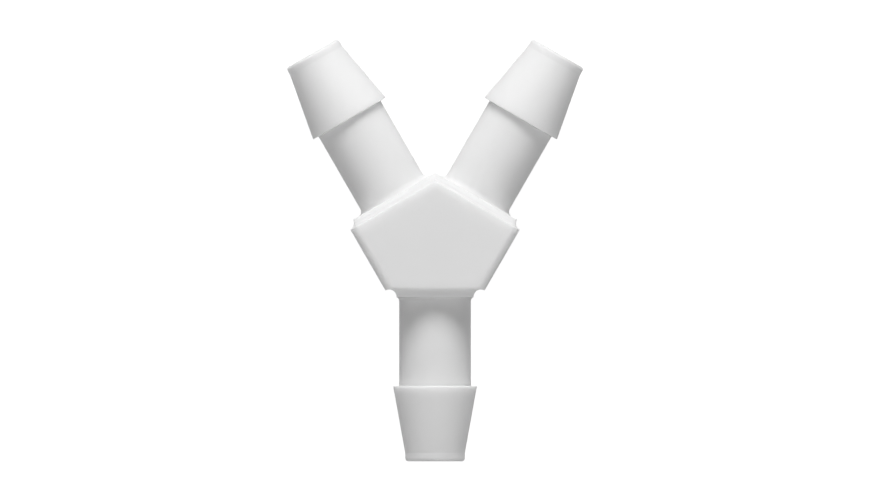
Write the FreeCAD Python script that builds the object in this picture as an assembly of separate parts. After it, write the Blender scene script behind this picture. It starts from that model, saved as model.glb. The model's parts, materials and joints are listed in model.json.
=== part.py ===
import FreeCAD, Part
import math
import os

# Y connector for flexible tubing, moulded in one piece.
#
# It lies flat on the back of its hub. The three tube axes meet in one point and
# share a plane parallel to XY. The origin is on the resting face, straight below
# that point. The two arms lean to either side of +Y, the stem points along -Y.
# All lengths are in millimetres and all angles in degrees.

# Tube directions
arm_spread = 60.0            # angle between the two arms

# Hub
hub_width = 15.30            # across the outer flats of one arm's bar
hub_thickness = 15.30        # front to back
arm_face_distance = 11.41    # from the meeting point to the face an arm leaves
stem_face_distance = 4.20    # from the meeting point to the face the stem leaves
cove_radius = 1.03           # hollow cut round the rim of each of those faces
boss_corner_radius = 0.22    # corner left on the face inside its cove

# Tubes
tube_diameter = 10.00
bore_diameter = 6.40
neck_length = 12.45          # plain tube between the hub and the barb
arm_root_radius = 0.75       # fillet where an arm meets the hub
stem_root_radius = 0.60      # fillet where the stem meets the hub

# Barbs
ridge_diameter = 11.70       # largest diameter, at the ledge that grips the hose
barb_length = 10.50          # from the ledge to the end of the tube
tip_diameter = 8.33
tip_land_length = 1.17       # straight stretch ahead of the taper
tip_edge_radius = 0.46
mouth_chamfer = 0.15         # bevel at the mouth of the bore

# Modelling allowances
root_overlap = 1.00          # how far a tube's foot reaches into the hub
cutter_overrun = 2.00        # how far a cutter runs past the face that it opens

# Sizes that follow from the ones above
half_spread = arm_spread / 2
half_width = hub_width / 2
half_thickness = hub_thickness / 2
hub_edge_radius = cove_radius + boss_corner_radius
spread_sine = math.sin(math.radians(half_spread))
spread_cosine = math.cos(math.radians(half_spread))
apex_distance = arm_face_distance / spread_cosine
stem_face_half_width = (half_width - stem_face_distance * spread_sine) / spread_cosine
tube_length = neck_length + barb_length

# Heading of each tube, turned from +Y towards -X, with its root fillet and face
TUBES = {
    "left_arm": (half_spread, arm_face_distance, arm_root_radius),
    "right_arm": (-half_spread, arm_face_distance, arm_root_radius),
    "stem": (180.0, stem_face_distance, stem_root_radius),
}


def tube_frame(heading, distance):
    """Placement whose +Z runs out along a tube, its origin that far from the meeting point."""
    turn = FreeCAD.Rotation(FreeCAD.Vector(0, 0, 1), heading)
    lie_down = FreeCAD.Rotation(FreeCAD.Vector(1, 0, 0), -90)
    rotation = turn.multiply(lie_down)
    outward = rotation.multVec(FreeCAD.Vector(0, 0, 1))
    centre = FreeCAD.Vector(0, 0, half_thickness)
    return FreeCAD.Placement(centre + outward * distance, rotation)


def section_point(radius, height):
    """Point of a section that is turned about +Z."""
    return FreeCAD.Vector(radius, 0, height)


def section_arc(centre, radius, from_angle, to_angle):
    """Arc of a turned section, its angles measured from the outward direction."""
    points = []
    for angle in (from_angle, (from_angle + to_angle) / 2, to_angle):
        turn = math.radians(angle)
        points.append(centre + section_point(radius * math.cos(turn), radius * math.sin(turn)))
    return Part.Arc(*points).toBSpline().toShape()


def turned(edges):
    """Solid turned about +Z from the closed section that the edges make."""
    section = Part.Face(Part.Wire(edges))
    return section.revolve(FreeCAD.Vector(0, 0, 0), FreeCAD.Vector(0, 0, 1), 360)


def make_hub():
    """Five-sided block with its edges along the two outer flats rounded."""
    arm_corner_x = arm_face_distance * spread_sine + half_width * spread_cosine
    arm_corner_y = arm_face_distance * spread_cosine - half_width * spread_sine
    corners = [
        (0, apex_distance),
        (-arm_corner_x, arm_corner_y),
        (-stem_face_half_width, -stem_face_distance),
        (stem_face_half_width, -stem_face_distance),
        (arm_corner_x, arm_corner_y),
    ]
    points = [FreeCAD.Vector(x, y, 0) for x, y in corners]
    outline = Part.Face(Part.makePolygon(points + points[:1]))
    block = outline.extrude(FreeCAD.Vector(0, 0, hub_thickness))

    def on_outer_flat(edge):
        along = edge.Vertexes[-1].Point - edge.Vertexes[0].Point
        rises = abs(along.z) > 1e-6
        middle = edge.CenterOfMass
        outward = abs(middle.x) * spread_cosine - middle.y * spread_sine
        return not rises and abs(outward - half_width) < 1e-6

    flat_edges = [edge for edge in block.Edges if on_outer_flat(edge)]
    return block.makeFillet(hub_edge_radius, flat_edges)


def make_tube(root_radius):
    """Tube with its root fillet and barb, turned about +Z from the hub's face at zero."""
    tube_radius = tube_diameter / 2
    ridge_radius = ridge_diameter / 2
    tip_radius = tip_diameter / 2
    foot_radius = tube_radius + root_radius
    foot = Part.makePolygon([
        section_point(0, -root_overlap),
        section_point(foot_radius, -root_overlap),
        section_point(foot_radius, 0),
    ])
    root = section_arc(section_point(foot_radius, root_radius), root_radius, 270, 180)
    barb = Part.makePolygon([
        section_point(tube_radius, root_radius),
        section_point(tube_radius, neck_length),
        section_point(ridge_radius, neck_length),
        section_point(tip_radius, tube_length - tip_land_length),
        section_point(tip_radius, tube_length - tip_edge_radius),
    ])
    edge_centre = section_point(tip_radius - tip_edge_radius, tube_length - tip_edge_radius)
    edge = section_arc(edge_centre, tip_edge_radius, 0, 90)
    end = Part.makePolygon([
        section_point(tip_radius - tip_edge_radius, tube_length),
        section_point(0, tube_length),
        section_point(0, -root_overlap),
    ])
    return turned(foot.Edges + [root] + barb.Edges + [edge] + end.Edges)


def make_bore(length):
    """Cutter for a bore of this length, flared where it opens at the tube's end."""
    bore_radius = bore_diameter / 2
    flare_radius = bore_radius + mouth_chamfer
    section = Part.makePolygon([
        section_point(0, 0),
        section_point(bore_radius, 0),
        section_point(bore_radius, length - mouth_chamfer),
        section_point(flare_radius, length),
        section_point(flare_radius, length + cutter_overrun),
        section_point(0, length + cutter_overrun),
        section_point(0, 0),
    ])
    return turned(section.Edges)


def sweep_cove(path, start, direction):
    """Round bar of the cove's radius that follows a path of edges."""
    ring = Part.Wire([Part.makeCircle(cove_radius, start, direction)])
    return Part.Wire(path).makePipeShell([ring], True, False)


def rim_corner(x, y, x_side, y_side):
    """Quarter circle at one corner of a rim, from its front or back line to its side line."""
    inset = hub_edge_radius * (1 - math.sqrt(0.5))
    on_line = FreeCAD.Vector(x_side * (x - hub_edge_radius), y_side * y, 0)
    middle = FreeCAD.Vector(x_side * (x - inset), y_side * (y - inset), 0)
    on_side = FreeCAD.Vector(x_side * x, y_side * (y - hub_edge_radius), 0)
    return on_line, middle, on_side


def make_arm_cove(outer_side):
    """Cutter for the front, outer and back rim of an arm's face.

    It runs on past the ridge between the two arms, so the two coves meet in a mitre.
    """
    reach = arm_face_distance * spread_sine / spread_cosine + cutter_overrun
    front = rim_corner(half_width, half_thickness, outer_side, 1)
    back = rim_corner(half_width, half_thickness, outer_side, -1)
    start = FreeCAD.Vector(-outer_side * reach, half_thickness, 0)
    end = FreeCAD.Vector(-outer_side * reach, -half_thickness, 0)
    path = [
        Part.makeLine(start, front[0]),
        Part.Arc(*front).toShape(),
        Part.makeLine(front[2], back[2]),
        Part.Arc(*reversed(back)).toShape(),
        Part.makeLine(back[0], end),
    ]
    return sweep_cove(path, start, FreeCAD.Vector(outer_side, 0, 0))


def make_stem_cove():
    """Cutter for the whole rim of the stem's face."""
    corners = {}
    for x_side in (-1, 1):
        for y_side in (-1, 1):
            corners[x_side, y_side] = rim_corner(
                stem_face_half_width, half_thickness, x_side, y_side)
    start = FreeCAD.Vector(0, half_thickness, 0)
    path = [
        Part.makeLine(start, corners[1, 1][0]),
        Part.Arc(*corners[1, 1]).toShape(),
        Part.makeLine(corners[1, 1][2], corners[1, -1][2]),
        Part.Arc(*reversed(corners[1, -1])).toShape(),
        Part.makeLine(corners[1, -1][0], corners[-1, -1][0]),
        Part.Arc(*corners[-1, -1]).toShape(),
        Part.makeLine(corners[-1, -1][2], corners[-1, 1][2]),
        Part.Arc(*reversed(corners[-1, 1])).toShape(),
        Part.makeLine(corners[-1, 1][0], start),
    ]
    return sweep_cove(path, start, FreeCAD.Vector(1, 0, 0))


def placed(shape, placement):
    """Shape moved into a tube's frame."""
    copy = shape.copy()
    copy.Placement = placement
    return copy


def make_connector():
    """The whole moulding: hub, three barbed tubes, coves and the bores that join them."""
    body = make_hub()
    for heading, face_distance, root_radius in TUBES.values():
        tube = make_tube(root_radius)
        body = body.fuse(placed(tube, tube_frame(heading, face_distance)))

    coves = {
        "left_arm": make_arm_cove(-1),
        "right_arm": make_arm_cove(1),
        "stem": make_stem_cove(),
    }
    for name, cove in coves.items():
        heading, face_distance, _ = TUBES[name]
        body = body.cut(placed(cove, tube_frame(heading, face_distance)))

    for heading, face_distance, _ in TUBES.values():
        bore = make_bore(face_distance + tube_length)
        body = body.cut(placed(bore, tube_frame(heading, 0)))
    return body.removeSplitter()


os.makedirs("parts", exist_ok=True)
connector = make_connector()
connector.exportStep("parts/y_connector.step")
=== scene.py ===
import json
import math

import bmesh
import bpy
from mathutils import Matrix, Vector


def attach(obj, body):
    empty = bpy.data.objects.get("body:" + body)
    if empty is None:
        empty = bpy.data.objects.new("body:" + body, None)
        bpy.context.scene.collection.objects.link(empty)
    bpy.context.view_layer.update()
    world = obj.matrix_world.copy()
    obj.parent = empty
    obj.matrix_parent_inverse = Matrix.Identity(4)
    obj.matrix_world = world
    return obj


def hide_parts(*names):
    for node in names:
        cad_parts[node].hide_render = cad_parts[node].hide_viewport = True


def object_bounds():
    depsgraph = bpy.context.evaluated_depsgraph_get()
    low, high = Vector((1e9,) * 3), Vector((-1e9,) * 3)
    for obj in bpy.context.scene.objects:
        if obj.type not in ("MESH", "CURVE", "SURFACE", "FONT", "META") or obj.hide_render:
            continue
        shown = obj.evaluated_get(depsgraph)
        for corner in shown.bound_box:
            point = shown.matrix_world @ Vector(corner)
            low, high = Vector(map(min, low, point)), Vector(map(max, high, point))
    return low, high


bl_info = {
    "name": "Barbed Y Connector",
    "version": (1, 0, 0),
    "blender": (4, 5, 0),
    "location": "3D View > Sidebar > Y Connector",
    "description": "Moulds a barbed Y connector for flexible hose and sets a plain studio round it",
    "category": "Add Mesh",
}

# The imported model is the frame: the sizes below that it states are read from it.
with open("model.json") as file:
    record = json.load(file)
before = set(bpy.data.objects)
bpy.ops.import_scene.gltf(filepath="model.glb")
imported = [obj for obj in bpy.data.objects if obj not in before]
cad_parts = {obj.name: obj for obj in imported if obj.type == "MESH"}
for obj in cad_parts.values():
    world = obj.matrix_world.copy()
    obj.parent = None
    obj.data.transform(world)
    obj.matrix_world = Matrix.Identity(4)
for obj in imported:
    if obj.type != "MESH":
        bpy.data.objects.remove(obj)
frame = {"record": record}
cad_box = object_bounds()

NODE = "y_connector"
MILLIMETRE = 0.001
MOUNTS = {mount["name"]: mount for mount in frame["record"]["mounts"]}
HUB_THICKNESS = cad_box[1][2] - cad_box[0][2]

# The photograph's frame, and where the tube axes meet in it
PHOTO_WIDTH = 870
PHOTO_HEIGHT = 501
MEETING_PIXEL_X = 434.55
MEETING_PIXEL_Y = 266.23
NECK_PIXELS = 71.7


def mount_radius(name):
    """Radius that a round mount states, in metres."""
    return MOUNTS[name]["dims"]["r_mm"] * MILLIMETRE


def mount_length(name):
    """Length that a round mount states, in metres."""
    return MOUNTS[name]["dims"]["length_mm"] * MILLIMETRE


# How finely the meshes are divided
AROUND = 144                     # facets round a tube or a bore
FACET = 0.00005                  # radius of a rounding for each facet in it
FEWEST_ARC_STEPS = 5             # facets of the smallest rounding
BLOCK_ARC_STEPS = 24             # facets of a rounded edge of the hub
COVE_ARC_STEPS = 24              # facets of a cove
RIM_ARC_STEPS = 6                # facets of the rounding on a cove's rim
CREASE_ANGLE = math.radians(25)  # edges sharper than this stay crisp

# Working allowances of the meshes, in metres
MERGE_DISTANCE = 1e-7            # points nearer than this become one
TIDY_DISTANCE = 3e-6             # the same, in the finished moulding
FOOT_DEPTH = 0.001               # how far a tube's foot reaches into the hub
FOOT_SINK = 1e-6                 # how far a tube sinks, so that its flange stays inside the hub
MOUTH_LIFT = 2e-7                # how far a flare stays clear of the tube's end
RIM_LIFT = 1.5e-6                # how far a cove's cutter stands off the faces that it rounds
OVERRUN = 0.002                  # how far a cutter runs past what it opens
FLANGE_REACH = 1.25              # width of the flange under a tube, in root radii

# How a cove's section changes along the rim
FRONT_PLACE = "front_place"      # places of its points along the front and back
SIDE_PLACE = "side_place"        # places of its points along the sides
CORNER_BLEND = 3.0               # the higher, the nearer to the sides the change happens
LOWEST_ANGLE = math.radians(-120)  # angles of those places start here, for a full turn

# Corners of the hub's outline, counted from the top, that bound the two outer flats
OUTER_FLATS = ((1, 2), (3, 4))
ROUND_PROFILE = 0.5              # shape of a bevel that is a quarter circle

# Plastic
PALER = 1.01                     # how far the colour strays either way, as factors
DEEPER = 0.985
ROUGHNESS_SPREAD = 0.04          # how far the roughness strays either way
CLOUD_SCALE = 160.0              # cloudy patches per metre
GRAIN_SCALE = 9000.0             # grains per metre
GRAIN_STRENGTH = 0.5
PLASTIC_IOR = 1.5
SHEEN_LEVEL = 0.3                # 0.5 would be the full sheen of that index

# Surroundings, with the camera's lengths in metres
WHITE = (1.0, 1.0, 1.0, 1.0)
FLOOR_GREY = (0.3, 0.3, 0.3, 1.0)
FLOOR_GLOW = 0.93                # added where the floor is seen, so that it shows white
CAMERA_HEIGHT = 0.6
CAMERA_NEAR = 0.01
CAMERA_FAR = 10.0

# Soft lights, aimed at the hub. Azimuths turn from +Y to +X and tilts from straight up, both
# in degrees. Widths and heights are in metres, and each power names a property of the stage.
SOFT_LIGHTS = {
    "Key light": {
        "azimuth": 0, "tilt": 58, "width": 0.20, "height": 0.16, "power": "key_power"},
    "Left side light": {
        "azimuth": -22, "tilt": 61, "width": 0.20, "height": 0.20, "power": "side_power"},
    "Left fill light": {
        "azimuth": -120, "tilt": 58, "width": 0.20, "height": 0.40, "power": "fill_power"},
    "Right side light": {
        "azimuth": 22, "tilt": 61, "width": 0.20, "height": 0.20, "power": "side_power"},
    "Right fill light": {
        "azimuth": 120, "tilt": 58, "width": 0.20, "height": 0.40, "power": "fill_power"},
    "Low light": {
        "azimuth": 180, "tilt": 86, "width": 0.20, "height": 0.06, "power": "low_power"},
}


def length_property(name, description, default):
    """A size in metres that a user can change."""
    return bpy.props.FloatProperty(
        name=name, description=description, default=default, min=0.0, precision=5,
        unit="LENGTH", subtype="DISTANCE")


class YConnectorShape(bpy.types.PropertyGroup):
    """Sizes of the moulding."""

    arm_spread: bpy.props.FloatProperty(
        name="Arm spread", description="Angle between the two arms",
        default=math.radians(60), unit="ROTATION", subtype="ANGLE")
    hub_width: length_property(
        "Hub width", "Width of the bar that each arm's half of the hub is made of", 0.0153)
    hub_thickness: length_property(
        "Hub thickness", "Front to back of the hub", HUB_THICKNESS)
    arm_face_distance: length_property(
        "Arm face distance", "From the meeting point of the axes to an arm's face", 0.01141)
    stem_face_distance: length_property(
        "Stem face distance", "From the meeting point of the axes to the stem's face", 0.0042)
    cove_radius: length_property(
        "Cove radius", "Hollow cut round the rim of each face of the hub", 0.00103)
    rim_edge_radius: length_property(
        "Rim edge radius", "Rounding of the edges that an arm's cove leaves", 0.00012)
    stem_rim_radius: length_property(
        "Stem rim radius", "Rounding between the front or back and the stem's cove", 0.0004)
    stem_side_radius: length_property(
        "Stem side radius", "Rounding between an outer flat and the stem's cove", 0.00006)
    boss_corner_radius: length_property(
        "Boss corner radius", "Corner left on the face inside its cove", 0.00022)
    neck_diameter: length_property(
        "Neck diameter", "Plain tube between the hub and a barb", 0.010)
    bore_diameter: length_property(
        "Bore diameter", "Bore through each tube", 2 * mount_radius("stem_port"))
    arm_root_radius: length_property(
        "Arm root radius", "Fillet where an arm meets the hub", 0.00075)
    stem_root_radius: length_property(
        "Stem root radius", "Fillet where the stem meets the hub", 0.0006)
    ridge_diameter: length_property(
        "Ridge diameter", "Largest diameter of a barb", 2 * mount_radius("stem_barb"))
    ridge_edge_radius: length_property(
        "Ridge edge radius", "Rounding on the barb's gripping edge", 0.00008)
    ledge_corner_radius: length_property(
        "Ledge corner radius", "Fillet under the barb's ledge", 0.00015)
    tube_length: length_property(
        "Tube length", "From the hub's face to the end of a tube", mount_length("stem_barb"))
    barb_length: length_property(
        "Barb length", "From the ledge to the end of a tube", 0.0105)
    tip_diameter: length_property(
        "Tip diameter", "Straight end of a barb", 0.00833)
    tip_land_length: length_property(
        "Tip land length", "Straight stretch ahead of the taper", 0.00117)
    land_radius: length_property(
        "Land radius", "Rounding where the taper meets the straight end", 0.001)
    tip_edge_radius: length_property(
        "Tip edge radius", "Rounding at the end of a tube", 0.00046)
    mouth_edge_radius: length_property(
        "Mouth edge radius", "Rounding where a bore opens", 0.00015)


class YConnectorFinish(bpy.types.PropertyGroup):
    """Look of the plastic."""

    plastic_color: bpy.props.FloatVectorProperty(
        name="Plastic colour", description="Body colour of the moulding",
        default=(0.84, 0.84, 0.84), size=3, min=0.0, max=1.0, subtype="COLOR")
    roughness: bpy.props.FloatProperty(
        name="Roughness", description="Roughness of the mould's satin finish",
        default=0.6, min=0.0, max=1.0, subtype="FACTOR")
    scatter_depth: length_property(
        "Scatter depth", "How far light travels inside the plastic", 0.002)
    grain_height: length_property(
        "Grain height", "Depth of the mould's fine grain", 0.000002)


class YConnectorStage(bpy.types.PropertyGroup):
    """Floor, lights and camera."""

    floor_size: length_property("Floor size", "Side of the square floor", 3.0)
    light_distance: length_property("Light distance", "From the hub to each soft light", 0.5)
    key_power: bpy.props.FloatProperty(
        name="Key power", description="Power of the soft light beyond the arms",
        default=1.50, min=0.0, unit="POWER")
    side_power: bpy.props.FloatProperty(
        name="Side power", description="Power of each soft light to either side of the key light",
        default=0.48, min=0.0, unit="POWER")
    fill_power: bpy.props.FloatProperty(
        name="Fill power", description="Power of each tall soft light beside the stem",
        default=0.78, min=0.0, unit="POWER")
    low_power: bpy.props.FloatProperty(
        name="Low power", description="Power of the soft light beyond the stem, near the floor",
        default=0.18, min=0.0, unit="POWER")
    ambient: bpy.props.FloatProperty(
        name="Ambient", description="Brightness of the pale room round the object",
        default=0.025, min=0.0)


def tube_matrix(heading, distance, thickness):
    """Frame whose +Z runs out along a tube, its origin that far from the meeting point."""
    turn = Matrix.Rotation(heading, 4, "Z")
    lie_down = Matrix.Rotation(math.radians(-90), 4, "X")
    lift = Matrix.Translation(Vector((0, 0, thickness / 2)))
    return lift @ turn @ lie_down @ Matrix.Translation(Vector((0, 0, distance)))


def new_object(name, data):
    """Object for a mesh, light or camera, in the scene."""
    made = bpy.data.objects.new(name, data)
    bpy.context.scene.collection.objects.link(made)
    return made


class TreeBuilder:
    """Small helper that adds linked nodes to a tree."""

    def __init__(self, tree):
        self.tree = tree

    def feed(self, entry, value):
        """Links a node's input to a socket, or else sets it to a value."""
        if isinstance(value, bpy.types.NodeSocket):
            self.tree.links.new(value, entry)
        else:
            entry.default_value = value

    def add(self, kind, inputs=None, **settings):
        """New node with its settings, its inputs set to values or linked to sockets."""
        node = self.tree.nodes.new(kind)
        for name, value in settings.items():
            setattr(node, name, value)
        for key, value in (inputs or {}).items():
            self.feed(node.inputs[key], value)
        return node

    def math(self, operation, first, second=0.0):
        """Output of a Math node."""
        node = self.add("ShaderNodeMath", {0: first, 1: second}, operation=operation)
        return node.outputs[0]

    def vector(self, x, y, z):
        """Output of a Combine XYZ node."""
        return self.add("ShaderNodeCombineXYZ", {0: x, 1: y, 2: z}).outputs[0]

    def parts(self, vector):
        """Outputs of a Separate XYZ node."""
        return self.add("ShaderNodeSeparateXYZ", {0: vector}).outputs

    def mix(self, kind, factor, first, second):
        """Output of a Mix node for "Float", "Vector" or "Color" values."""
        data_type = {"Float": "FLOAT", "Vector": "VECTOR", "Color": "RGBA"}[kind]
        node = self.add("ShaderNodeMix", data_type=data_type)
        entries = {entry.identifier: entry for entry in node.inputs}
        self.feed(entries["Factor_Float"], factor)
        self.feed(entries["A_" + kind], first)
        self.feed(entries["B_" + kind], second)
        results = {result.identifier: result for result in node.outputs}
        return results["Result_" + kind]

    def by_index(self, index, values, data_type):
        """Output of an Index Switch node that picks one of these values or sockets."""
        node = self.add("GeometryNodeIndexSwitch", {"Index": index}, data_type=data_type)
        while len(node.index_switch_items) < len(values):
            node.index_switch_items.new()
        for number, value in enumerate(values):
            self.feed(node.inputs[number + 1], value)
        return node.outputs[0]


def new_geometry_tree(name, lengths, others):
    """Geometry node tree with named inputs and one geometry output."""
    tree = bpy.data.node_groups.new(name, "GeometryNodeTree")
    for label in lengths:
        socket = tree.interface.new_socket(label, in_out="INPUT", socket_type="NodeSocketFloat")
        socket.subtype = "DISTANCE"
    for label, socket_type in others.items():
        tree.interface.new_socket(label, in_out="INPUT", socket_type=socket_type)
    tree.interface.new_socket("Geometry", in_out="OUTPUT", socket_type="NodeSocketGeometry")
    builder = TreeBuilder(tree)
    entry = builder.add("NodeGroupInput")
    return tree, builder, entry.outputs


def finish_geometry_tree(builder, geometry, material):
    """Realizes what the tree made, gives it its material and puts it out."""
    real = builder.add("GeometryNodeRealizeInstances", {0: geometry})
    coated = builder.add(
        "GeometryNodeSetMaterial", {"Geometry": real.outputs[0], "Material": material})
    builder.add("NodeGroupOutput", {0: coated.outputs[0]})


def add_polyline(builder, points, radii, facet, cyclic):
    """Curve through points given as (x, y, z) sockets, with each corner rounded to its radius."""
    index = builder.add("GeometryNodeInputIndex").outputs[0]
    line = builder.add("GeometryNodeMeshLine", {"Count": len(points)}, mode="OFFSET")
    place = builder.by_index(index, [builder.vector(*point) for point in points], "VECTOR")
    moved = builder.add(
        "GeometryNodeSetPosition", {"Geometry": line.outputs[0], "Position": place})
    curve = builder.add("GeometryNodeMeshToCurve", {0: moved.outputs[0]})
    spline = builder.add(
        "GeometryNodeSetSplineCyclic", {"Geometry": curve.outputs[0], "Cyclic": cyclic})
    radius = builder.by_index(index, radii, "FLOAT")
    wanted = builder.math("DIVIDE", radius, facet)
    steps = builder.math("MAXIMUM", builder.math("ROUND", wanted), FEWEST_ARC_STEPS)
    rounded = builder.add(
        "GeometryNodeFilletCurve",
        {"Curve": spline.outputs[0], "Count": steps, "Radius": radius}, mode="POLY")
    return rounded.outputs[0]


# Lengths that each geometry tree takes in
TUBE_LENGTHS = (
    "Neck Radius", "Ridge Radius", "Tip Radius", "Root Radius", "Foot Depth", "Tube Length",
    "Barb Length", "Tip Land", "Land Radius", "Tip Edge Radius", "Ridge Edge Radius",
    "Ledge Corner Radius", "Facet",
)
PIN_LENGTHS = ("Bore Radius", "Length", "Mouth Radius", "Overrun", "Facet")
COVE_LENGTHS = ("Half Width", "Half Thickness", "Reach", "Corner Radius", "Facet")


def build_lathe(builder, section, around):
    """Surface turned about Z from a section curve that lies in the XZ plane."""
    size = builder.add("GeometryNodeAttributeDomainSize", {0: section}, component="CURVE")
    stations = size.outputs["Point Count"]
    columns = builder.math("ADD", around, 1)
    grid = builder.add("GeometryNodeMeshGrid", {"Vertices X": stations, "Vertices Y": columns})
    index = builder.add("GeometryNodeInputIndex").outputs[0]
    station = builder.math("FLOOR", builder.math("DIVIDE", index, columns))
    column = builder.math("MODULO", index, columns)
    angle = builder.math("MULTIPLY", builder.math("DIVIDE", column, around), 2 * math.pi)
    position = builder.add("GeometryNodeInputPosition").outputs[0]
    sample = builder.add(
        "GeometryNodeSampleIndex", {"Geometry": section, "Value": position, "Index": station},
        data_type="FLOAT_VECTOR", domain="POINT")
    radius, _, height = builder.parts(sample.outputs[0])
    x = builder.math("MULTIPLY", radius, builder.math("COSINE", angle))
    y = builder.math("MULTIPLY", radius, builder.math("SINE", angle))
    turned = builder.add(
        "GeometryNodeSetPosition",
        {"Geometry": grid.outputs["Mesh"], "Position": builder.vector(x, y, height)})
    merged = builder.add(
        "GeometryNodeMergeByDistance", {"Geometry": turned.outputs[0], "Distance": MERGE_DISTANCE})
    return merged.outputs[0]


def tube_tree():
    """Tree that turns a barbed tube about +Z, its foot below zero and its end up."""
    others = {"Around": "NodeSocketInt", "Material": "NodeSocketMaterial"}
    tree, builder, entry = new_geometry_tree("Barbed tube", TUBE_LENGTHS, others)
    neck = entry["Neck Radius"]
    ridge = entry["Ridge Radius"]
    tip = entry["Tip Radius"]
    end = entry["Tube Length"]
    foot = builder.math("MULTIPLY", entry["Foot Depth"], -1)
    flange_width = builder.math("MULTIPLY", entry["Root Radius"], FLANGE_REACH)
    flange = builder.math("ADD", neck, flange_width)
    ledge = builder.math("SUBTRACT", end, entry["Barb Length"])
    land = builder.math("SUBTRACT", end, entry["Tip Land"])
    points = [
        (0.0, 0.0, foot),
        (flange, 0.0, foot),
        (flange, 0.0, 0.0),
        (neck, 0.0, 0.0),
        (neck, 0.0, ledge),
        (ridge, 0.0, ledge),
        (tip, 0.0, land),
        (tip, 0.0, end),
        (0.0, 0.0, end),
    ]
    radii = [
        0.0, 0.0, 0.0, entry["Root Radius"], entry["Ledge Corner Radius"],
        entry["Ridge Edge Radius"], entry["Land Radius"], entry["Tip Edge Radius"], 0.0,
    ]
    section = add_polyline(builder, points, radii, entry["Facet"], False)
    tube = build_lathe(builder, section, entry["Around"])
    finish_geometry_tree(builder, tube, entry["Material"])
    return tree


def pin_tree():
    """Tree that turns the pin that leaves a bore, flared at the mouth, open at its mitred foot.

    The two rises are how far the mitre climbs per length to the +X and to the -X side.
    """
    others = {
        "Plus Rise": "NodeSocketFloat", "Minus Rise": "NodeSocketFloat",
        "Around": "NodeSocketInt", "Material": "NodeSocketMaterial",
    }
    tree, builder, entry = new_geometry_tree("Bore pin", PIN_LENGTHS, others)
    radius = entry["Bore Radius"]
    length = entry["Length"]
    flare = builder.math("ADD", radius, entry["Mouth Radius"])
    outside = builder.math("ADD", flare, entry["Overrun"])
    top = builder.math("ADD", length, entry["Overrun"])
    points = [
        (radius, 0.0, 0.0),
        (radius, 0.0, length),
        (outside, 0.0, length),
        (outside, 0.0, top),
        (0.0, 0.0, top),
    ]
    radii = [0.0, entry["Mouth Radius"], 0.0, 0.0, 0.0]
    section = add_polyline(builder, points, radii, entry["Facet"], False)
    pin = build_lathe(builder, section, entry["Around"])
    position = builder.add("GeometryNodeInputPosition").outputs[0]
    x, _, height = builder.parts(position)
    plus_rise = builder.math("MULTIPLY", x, entry["Plus Rise"])
    minus_rise = builder.math("MULTIPLY", builder.math("MULTIPLY", x, -1), entry["Minus Rise"])
    rise = builder.math("MAXIMUM", plus_rise, minus_rise)
    at_foot = builder.math("LESS_THAN", height, MERGE_DISTANCE)
    mitred = builder.add(
        "GeometryNodeSetPosition",
        {"Geometry": pin, "Selection": at_foot, "Offset": builder.vector(0.0, 0.0, rise)})
    finish_geometry_tree(builder, mitred.outputs[0], entry["Material"])
    return tree


def capture(builder, geometry, fields):
    """Geometry that carries these vector fields along with its points, and their sockets."""
    node = builder.add("GeometryNodeCaptureAttribute", {0: geometry}, domain="POINT")
    for number, (name, field) in enumerate(fields.items()):
        node.capture_items.new("VECTOR", name)
        builder.feed(node.inputs[number + 1], field)
    return node.outputs[0], [node.outputs[number + 1] for number in range(len(fields))]


def cove_tree():
    """Tree that sweeps a cove's section along the rim of a hub face, in the XY plane.

    The section holds two outlines, one for the front and back and one for the sides of the
    rim, and passes from one to the other round the corners. Each point of the swept bar is
    placed anew, from its station on the rim and its distance and angle round it.
    """
    others = {
        "Closed": "NodeSocketBool", "Section": "NodeSocketObject",
        "Material": "NodeSocketMaterial",
    }
    tree, builder, entry = new_geometry_tree("Rim cove", COVE_LENGTHS, others)
    side = entry["Half Width"]
    front = entry["Half Thickness"]
    back = builder.math("MULTIPLY", front, -1)
    start = builder.math("MULTIPLY", entry["Reach"], -1)
    points = [(start, front, 0.0), (side, front, 0.0), (side, back, 0.0), (start, back, 0.0)]
    radii = [entry["Corner Radius"]] * len(points)
    rim = add_polyline(builder, points, radii, entry["Facet"], entry["Closed"])
    position = builder.add("GeometryNodeInputPosition").outputs[0]
    tangent = builder.add("GeometryNodeInputTangent").outputs[0]
    rim, (station, heading) = capture(builder, rim, {"Station": position, "Heading": tangent})
    outline = builder.add("GeometryNodeObjectInfo", {"Object": entry["Section"]})
    section = builder.add("GeometryNodeMeshToCurve", {0: outline.outputs["Geometry"]})
    places = {}
    for name in (FRONT_PLACE, SIDE_PLACE):
        stored = builder.add(
            "GeometryNodeInputNamedAttribute", {"Name": name}, data_type="FLOAT_VECTOR")
        places[name] = stored.outputs[0]
    section, (on_front, on_side) = capture(builder, section.outputs[0], places)
    bar = builder.add(
        "GeometryNodeCurveToMesh", {"Curve": rim, "Profile Curve": section, "Fill Caps": True})
    along_x, along_y, _ = builder.parts(heading)
    sideways = builder.math("POWER", builder.math("ABSOLUTE", along_y), CORNER_BLEND)
    place = builder.mix("Vector", sideways, on_front, on_side)
    distance, angle, _ = builder.parts(place)
    inwards = builder.math("MULTIPLY", distance, builder.math("COSINE", angle))
    into_hub = builder.math("MULTIPLY", distance, builder.math("SINE", angle))
    offset = builder.vector(
        builder.math("MULTIPLY", inwards, along_y),
        builder.math("MULTIPLY", inwards, builder.math("MULTIPLY", along_x, -1)),
        builder.math("MULTIPLY", into_hub, -1))
    placed = builder.add("ShaderNodeVectorMath", {0: station, 1: offset}, operation="ADD")
    swept = builder.add(
        "GeometryNodeSetPosition", {"Geometry": bar.outputs[0], "Position": placed.outputs[0]})
    finish_geometry_tree(builder, swept.outputs[0], entry["Material"])
    return tree


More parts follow.
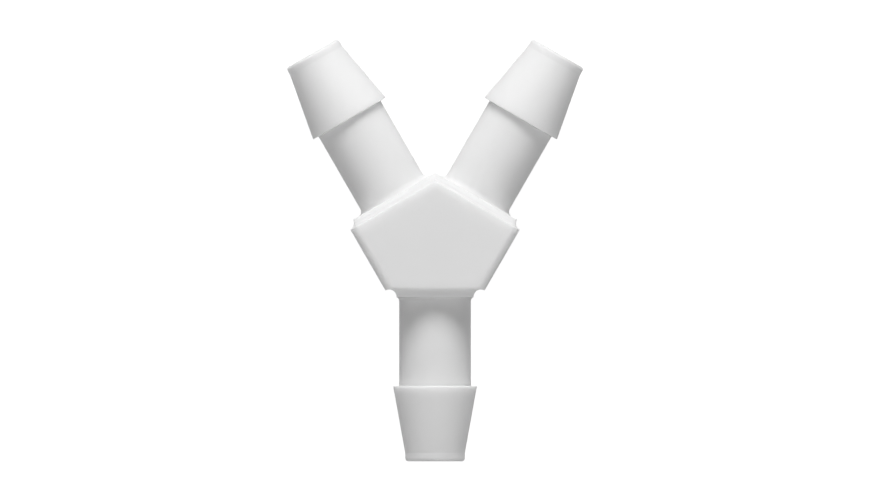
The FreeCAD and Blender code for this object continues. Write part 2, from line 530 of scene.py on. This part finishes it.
def grow(tree, values, matrix):
    """Plain object with the mesh that a tree makes from these input values, put in place."""
    made = new_object(tree.name, bpy.data.meshes.new(tree.name))
    modifier = made.modifiers.new(tree.name, "NODES")
    modifier.node_group = tree
    for item in tree.interface.items_tree:
        if item.item_type == "SOCKET" and item.in_out == "INPUT":
            modifier[item.identifier] = values[item.name]
    evaluated = made.evaluated_get(bpy.context.evaluated_depsgraph_get())
    mesh = bpy.data.meshes.new_from_object(evaluated)
    made.modifiers.clear()
    made.data = mesh
    mesh.transform(matrix)
    return made


def weld(name, objects):
    """One closed object from several that share their seams, with every face turned outwards."""
    work = bmesh.new()
    for each in objects:
        work.from_mesh(each.data)
        bpy.data.objects.remove(each)
    bmesh.ops.remove_doubles(work, verts=work.verts, dist=MERGE_DISTANCE)
    bmesh.ops.recalc_face_normals(work, faces=work.faces)
    mesh = bpy.data.meshes.new(name)
    work.to_mesh(mesh)
    work.free()
    return new_object(name, mesh)


def combine(base, operation, tool):
    """Joins or cuts a closed mesh with another, which is used up, and closes any hair gaps."""
    modifier = base.modifiers.new(operation, "BOOLEAN")
    modifier.operation = operation
    modifier.solver = "EXACT"
    modifier.object = tool
    evaluated = base.evaluated_get(bpy.context.evaluated_depsgraph_get())
    mesh = bpy.data.meshes.new_from_object(evaluated)
    base.modifiers.clear()
    work = bmesh.new()
    work.from_mesh(mesh)
    bmesh.ops.remove_doubles(work, verts=work.verts, dist=MERGE_DISTANCE)
    work.to_mesh(mesh)
    work.free()
    base.data = mesh
    bpy.data.objects.remove(tool)


def make_block(shape):
    """Five-sided hub block with its edges along the two outer flats rounded."""
    half_spread = shape.arm_spread / 2
    sine = math.sin(half_spread)
    cosine = math.cos(half_spread)
    half_width = shape.hub_width / 2
    foot_x = (half_width - shape.stem_face_distance * sine) / cosine
    arm_x = shape.arm_face_distance * sine + half_width * cosine
    arm_y = shape.arm_face_distance * cosine - half_width * sine
    corners = [
        (0.0, shape.arm_face_distance / cosine),
        (-arm_x, arm_y),
        (-foot_x, -shape.stem_face_distance),
        (foot_x, -shape.stem_face_distance),
        (arm_x, arm_y),
    ]
    work = bmesh.new()
    low = [work.verts.new((x, y, 0.0)) for x, y in corners]
    high = [work.verts.new((x, y, shape.hub_thickness)) for x, y in corners]
    work.faces.new(low)
    work.faces.new(high)
    for first in range(len(corners)):
        second = (first + 1) % len(corners)
        work.faces.new((low[first], low[second], high[second], high[first]))
    flat_edges = []
    for first, second in OUTER_FLATS:
        flat_edges.append(work.edges.get((low[first], low[second])))
        flat_edges.append(work.edges.get((high[first], high[second])))
    bmesh.ops.recalc_face_normals(work, faces=work.faces)
    bmesh.ops.bevel(
        work, geom=flat_edges, offset=shape.cove_radius + shape.boss_corner_radius,
        offset_type="OFFSET", segments=BLOCK_ARC_STEPS, profile=ROUND_PROFILE,
        affect="EDGES", clamp_overlap=False)
    mesh = bpy.data.meshes.new("Hub block")
    work.to_mesh(mesh)
    work.free()
    return new_object("Hub block", mesh)


def tube_places(shape):
    """Heading, face distance and root radius of each tube; headings turn from +Y towards -X."""
    half_spread = shape.arm_spread / 2
    return {
        "left": (half_spread, shape.arm_face_distance, shape.arm_root_radius),
        "right": (-half_spread, shape.arm_face_distance, shape.arm_root_radius),
        "stem": (math.pi, shape.stem_face_distance, shape.stem_root_radius),
    }


def make_tubes(shape, material):
    """The three solid tubes with their barbs, each sunk a hair into its face of the hub."""
    tree = tube_tree()
    tubes = []
    for heading, distance, root_radius in tube_places(shape).values():
        values = {
            "Neck Radius": shape.neck_diameter / 2,
            "Ridge Radius": shape.ridge_diameter / 2,
            "Tip Radius": shape.tip_diameter / 2,
            "Root Radius": root_radius,
            "Foot Depth": FOOT_DEPTH,
            "Tube Length": shape.tube_length + FOOT_SINK,
            "Barb Length": shape.barb_length,
            "Tip Land": shape.tip_land_length,
            "Land Radius": shape.land_radius,
            "Tip Edge Radius": shape.tip_edge_radius,
            "Ridge Edge Radius": shape.ridge_edge_radius,
            "Ledge Corner Radius": shape.ledge_corner_radius,
            "Facet": FACET,
            "Around": AROUND,
            "Material": material,
        }
        place = tube_matrix(heading, distance - FOOT_SINK, shape.hub_thickness)
        tubes.append(weld("Tube", [grow(tree, values, place)]))
    return tubes


def arc_points(centre, radius, from_angle, to_angle, steps):
    """Points of an arc in a plane, both ends included, its angles in degrees."""
    points = []
    for step in range(steps + 1):
        turn = math.radians(from_angle + (to_angle - from_angle) * step / steps)
        points.append((centre[0] + radius * math.cos(turn), centre[1] + radius * math.sin(turn)))
    return points


def cove_outline(cove, rim, lean, round_on_face):
    """Outline of a cove's cutter: +X runs in along the hub's end face, +Y into the hub.

    The cove is a quarter circle round the rim, rounded where it leaves the hub's flat, which
    leans outwards by an angle in degrees. At the end face it is rounded too, or else runs on
    round its circle into the foot of the tube.
    """
    flare = math.sqrt((cove + rim) ** 2 - rim ** 2)
    tilt = math.degrees(math.asin(rim / (cove + rim)))
    turn = Matrix.Rotation(math.radians(lean), 2)
    if round_on_face:
        points = [(flare, -OVERRUN)]
        points += arc_points((flare, rim), rim, 270, 180 + tilt, RIM_ARC_STEPS)[:-1]
        start = tilt
    else:
        points = [(-OVERRUN, -cove)]
        start = -90
    points += arc_points((0.0, 0.0), cove, start, 90 - tilt + lean, COVE_ARC_STEPS)
    centre = turn @ Vector((rim, flare))
    points += arc_points(centre, rim, 270 - tilt + lean, 180 + lean, RIM_ARC_STEPS)[1:]
    points += [tuple(turn @ Vector((-OVERRUN, flare)))]
    if round_on_face:
        points += [(-OVERRUN, -OVERRUN)]
    return [(x - RIM_LIFT, y - RIM_LIFT, 0.0) for x, y in points]


def make_cove_section(front_outline, side_outline):
    """Closed outline as a mesh of edges.

    Each of its points also carries its distance and angle round the rim, once as on the
    front and once as on the sides.
    """
    mesh = bpy.data.meshes.new("Cove section")
    count = len(front_outline)
    mesh.from_pydata(
        front_outline, [(number, (number + 1) % count) for number in range(count)], [])
    for name, outline in ((FRONT_PLACE, front_outline), (SIDE_PLACE, side_outline)):
        places = mesh.attributes.new(name, "FLOAT_VECTOR", "POINT")
        for number, (x, y, _) in enumerate(outline):
            angle = math.atan2(y, x)
            if angle < LOWEST_ANGLE:
                angle += 2 * math.pi
            places.data[number].vector = (math.hypot(x, y), angle, 0.0)
    return new_object("Cove section", mesh)


def make_coves(shape, material):
    """The three cutters that hollow the rims of the hub's faces."""
    tree = cove_tree()
    half_spread = shape.arm_spread / 2
    half_width = shape.hub_width / 2
    sine = math.sin(half_spread)
    cosine = math.cos(half_spread)
    stem_half_width = (half_width - shape.stem_face_distance * sine) / cosine
    past_apex = shape.arm_face_distance * sine / cosine + OVERRUN

    # Half width of each rim, how far it reaches inwards, whether it closes, its outer side
    rims = {
        "left": (half_width, past_apex, False, -1),
        "right": (half_width, past_apex, False, 1),
        "stem": (stem_half_width, stem_half_width, True, 1),
    }
    coves = []
    for name, (heading, distance, _) in tube_places(shape).items():
        rim_half_width, reach, closed, outer_side = rims[name]
        if closed:
            front_outline = cove_outline(shape.cove_radius, shape.stem_rim_radius, 0.0, False)
            side_outline = cove_outline(
                shape.cove_radius, shape.stem_side_radius, math.degrees(half_spread), False)
        else:
            front_outline = cove_outline(shape.cove_radius, shape.rim_edge_radius, 0.0, True)
            side_outline = front_outline
        section = make_cove_section(front_outline, side_outline)
        values = {
            "Half Width": rim_half_width,
            "Half Thickness": shape.hub_thickness / 2,
            "Reach": reach,
            "Corner Radius": shape.cove_radius + shape.boss_corner_radius,
            "Facet": FACET,
            "Closed": closed,
            "Section": section,
            "Material": material,
        }
        mirror = Matrix.Diagonal(Vector((outer_side, 1, 1, 1)))
        place = tube_matrix(heading, distance, shape.hub_thickness) @ mirror
        coves.append(weld("Cove", [grow(tree, values, place)]))
        bpy.data.objects.remove(section)
    return coves


def make_pins(shape, material):
    """The cutter for all three bores, whose pins meet in mitres at the meeting point."""
    tree = pin_tree()
    between_arms = 1 / math.tan(shape.arm_spread / 2)
    beside_stem = 1 / math.tan((math.pi - shape.arm_spread / 2) / 2)
    rises = {
        "left": (between_arms, beside_stem),
        "right": (beside_stem, between_arms),
        "stem": (beside_stem, beside_stem),
    }
    pins = []
    for name, (heading, distance, _) in tube_places(shape).items():
        plus_rise, minus_rise = rises[name]
        values = {
            "Bore Radius": shape.bore_diameter / 2,
            "Length": distance + shape.tube_length + MOUTH_LIFT,
            "Mouth Radius": shape.mouth_edge_radius,
            "Overrun": OVERRUN,
            "Facet": FACET,
            "Plus Rise": plus_rise,
            "Minus Rise": minus_rise,
            "Around": AROUND,
            "Material": material,
        }
        pins.append(grow(tree, values, tube_matrix(heading, 0.0, shape.hub_thickness)))
    return weld("Bores", pins)


def make_moulding(shape, material):
    """The whole moulding in one closed mesh: hub, tubes, coves and bores."""
    moulding = make_block(shape)
    for tube in make_tubes(shape, material):
        combine(moulding, "UNION", tube)
    for cove in make_coves(shape, material):
        combine(moulding, "DIFFERENCE", cove)
    combine(moulding, "DIFFERENCE", make_pins(shape, material))
    return moulding


def shade_moulding(moulding, material):
    """Smooth faces with crisp edges where two surfaces really meet."""
    mesh = moulding.data
    work = bmesh.new()
    work.from_mesh(mesh)
    bmesh.ops.remove_doubles(work, verts=work.verts, dist=TIDY_DISTANCE)
    for face in work.faces:
        face.smooth = True
        face.material_index = 0
    for edge in work.edges:
        edge.smooth = edge.is_manifold and edge.calc_face_angle() < CREASE_ANGLE
    work.to_mesh(mesh)
    work.free()
    mesh.materials.clear()
    mesh.materials.append(material)
    weighted = moulding.modifiers.new("Flat faces stay flat", "WEIGHTED_NORMAL")
    weighted.mode = "FACE_AREA"
    weighted.keep_sharp = True


def emptied_tree(owner):
    """Builder for the node tree of a material or a world, cleared of what it starts with."""
    owner.use_nodes = True
    owner.node_tree.nodes.clear()
    return TreeBuilder(owner.node_tree)


def tinted(color, factor):
    """The colour made paler or deeper by a factor, as a node takes it."""
    return [min(1.0, channel * factor) for channel in color] + [1.0]


def plastic_material(finish):
    """White moulded plastic, a little translucent, with the mould's fine grain."""
    material = bpy.data.materials.new("White moulded plastic")
    builder = emptied_tree(material)
    place = builder.add("ShaderNodeTexCoord").outputs["Object"]
    cloud = builder.add(
        "ShaderNodeTexNoise",
        {"Vector": place, "Scale": CLOUD_SCALE, "Detail": 3.0, "Roughness": 0.5}).outputs[0]
    shade = builder.mix(
        "Color", cloud, tinted(finish.plastic_color, DEEPER), tinted(finish.plastic_color, PALER))
    grain = builder.add(
        "ShaderNodeTexNoise",
        {"Vector": place, "Scale": GRAIN_SCALE, "Detail": 2.0, "Roughness": 0.6}).outputs[0]
    satin = builder.add("ShaderNodeMapRange", {
        "Value": cloud,
        "To Min": finish.roughness - ROUGHNESS_SPREAD,
        "To Max": finish.roughness + ROUGHNESS_SPREAD,
    })
    bump = builder.add("ShaderNodeBump", {
        "Height": grain, "Strength": GRAIN_STRENGTH, "Distance": finish.grain_height})
    surface = builder.add("ShaderNodeBsdfPrincipled", {
        "Base Color": shade,
        "Roughness": satin.outputs[0],
        "Normal": bump.outputs[0],
        "IOR": PLASTIC_IOR,
        "Specular IOR Level": SHEEN_LEVEL,
        "Subsurface Weight": 1.0,
        "Subsurface Radius": (1.0, 1.0, 1.0),
        "Subsurface Scale": finish.scatter_depth,
    })
    surface.subsurface_method = "RANDOM_WALK"
    builder.add("ShaderNodeOutputMaterial", {"Surface": surface.outputs[0]})
    return material


class YCONNECTOR_OT_mould(bpy.types.Operator):
    """Mould the hub with its three barbed tubes in one piece"""

    bl_idname = "yconnector.mould"
    bl_label = "Mould the Connector"

    def execute(self, context):
        scene = context.scene
        material = plastic_material(scene.yconnector_finish)
        moulding = make_moulding(scene.yconnector_shape, material)
        shade_moulding(moulding, material)
        moulding.name = "moulded_y_connector"
        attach(moulding, "root")
        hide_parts(NODE)
        return {"FINISHED"}


def seen_rays(builder):
    """Socket that is 1 where the surroundings are seen, straight or in a reflection."""
    path = builder.add("ShaderNodeLightPath").outputs
    seen = builder.math("ADD", path["Is Camera Ray"], path["Is Glossy Ray"])
    return builder.math("ADD", seen, path["Is Transmission Ray"])


def floor_material():
    """Pale floor that shows white to the camera and lights the object as a grey one would."""
    material = bpy.data.materials.new("Pale floor")
    builder = emptied_tree(material)
    grey = builder.add("ShaderNodeBsdfDiffuse", {"Color": FLOOR_GREY})
    glow = builder.add("ShaderNodeEmission", {"Color": WHITE, "Strength": FLOOR_GLOW})
    white = builder.add("ShaderNodeAddShader", {0: grey.outputs[0], 1: glow.outputs[0]})
    either = builder.add(
        "ShaderNodeMixShader",
        {0: seen_rays(builder), 1: grey.outputs[0], 2: white.outputs[0]})
    builder.add("ShaderNodeOutputMaterial", {"Surface": either.outputs[0]})
    return material


def make_floor(stage):
    """Square floor under the object."""
    half = stage.floor_size / 2
    mesh = bpy.data.meshes.new("floor")
    mesh.from_pydata(
        [(-half, -half, 0.0), (half, -half, 0.0), (half, half, 0.0), (-half, half, 0.0)],
        [], [(0, 1, 2, 3)])
    floor = new_object("floor", mesh)
    mesh.materials.append(floor_material())


def add_soft_light(name, stage, azimuth, tilt, width, height, power):
    """Rectangular light at the stage's distance from the hub, aimed at its middle."""
    lamp = bpy.data.lights.new(name, "AREA")
    lamp.shape = "RECTANGLE"
    lamp.size = width
    lamp.size_y = height
    lamp.energy = getattr(stage, power)
    made = new_object(name, lamp)
    turn = math.radians(azimuth)
    lean = math.radians(tilt)
    out = Vector((
        math.sin(lean) * math.sin(turn), math.sin(lean) * math.cos(turn), math.cos(lean)))
    made.location = Vector((0.0, 0.0, HUB_THICKNESS / 2)) + out * stage.light_distance
    made.rotation_euler = (-out).to_track_quat("-Z", "Y").to_euler()


def make_lights(stage):
    """Three soft lights in a row beyond the arms, a tall one to either side, a low one opposite."""
    for name, light in SOFT_LIGHTS.items():
        add_soft_light(name, stage, **light)


def make_world(stage):
    """Even pale surroundings, white where they are seen."""
    world = bpy.data.worlds.new("Pale room")
    bpy.context.scene.world = world
    builder = emptied_tree(world)
    strength = builder.mix("Float", seen_rays(builder), stage.ambient, 1.0)
    glow = builder.add("ShaderNodeBackground", {"Color": WHITE, "Strength": strength})
    builder.add("ShaderNodeOutputWorld", {"Surface": glow.outputs[0]})


def make_camera(shape):
    """Camera that looks straight down, framed as the photograph is."""
    pixel = shape.neck_diameter / NECK_PIXELS
    camera = bpy.data.cameras.new("Camera")
    camera.type = "ORTHO"
    camera.ortho_scale = PHOTO_WIDTH * pixel
    camera.clip_start = CAMERA_NEAR
    camera.clip_end = CAMERA_FAR
    made = new_object("Camera", camera)
    right = (PHOTO_WIDTH - 1) / 2 - MEETING_PIXEL_X
    up = MEETING_PIXEL_Y - (PHOTO_HEIGHT - 1) / 2
    made.location = (right * pixel, up * pixel, CAMERA_HEIGHT)
    bpy.context.scene.camera = made


class YCONNECTOR_OT_stage(bpy.types.Operator):
    """Lay the floor and set the lights and the camera"""

    bl_idname = "yconnector.stage"
    bl_label = "Set the Stage"

    def execute(self, context):
        scene = context.scene
        stage = scene.yconnector_stage
        make_floor(stage)
        make_world(stage)
        make_lights(stage)
        make_camera(scene.yconnector_shape)
        scene.view_settings.view_transform = "Standard"
        return {"FINISHED"}


class YCONNECTOR_PT_sidebar(bpy.types.Panel):
    """Sidebar panel with the steps of the build"""

    bl_idname = "YCONNECTOR_PT_sidebar"
    bl_label = "Barbed Y Connector"
    bl_space_type = "VIEW_3D"
    bl_region_type = "UI"
    bl_category = "Y Connector"

    def draw(self, context):
        for operator in (YCONNECTOR_OT_mould, YCONNECTOR_OT_stage):
            self.layout.operator(operator.bl_idname)


CLASSES = (
    YConnectorShape,
    YConnectorFinish,
    YConnectorStage,
    YCONNECTOR_OT_mould,
    YCONNECTOR_OT_stage,
    YCONNECTOR_PT_sidebar,
)


def register():
    for cls in CLASSES:
        bpy.utils.register_class(cls)
    bpy.types.Scene.yconnector_shape = bpy.props.PointerProperty(type=YConnectorShape)
    bpy.types.Scene.yconnector_finish = bpy.props.PointerProperty(type=YConnectorFinish)
    bpy.types.Scene.yconnector_stage = bpy.props.PointerProperty(type=YConnectorStage)


def unregister():
    del bpy.types.Scene.yconnector_stage
    del bpy.types.Scene.yconnector_finish
    del bpy.types.Scene.yconnector_shape
    for cls in reversed(CLASSES):
        bpy.utils.unregister_class(cls)


def main():
    """Runs the steps in order."""
    register()
    bpy.ops.yconnector.mould()
    bpy.ops.yconnector.stage()


if __name__ == "__main__":
    main()
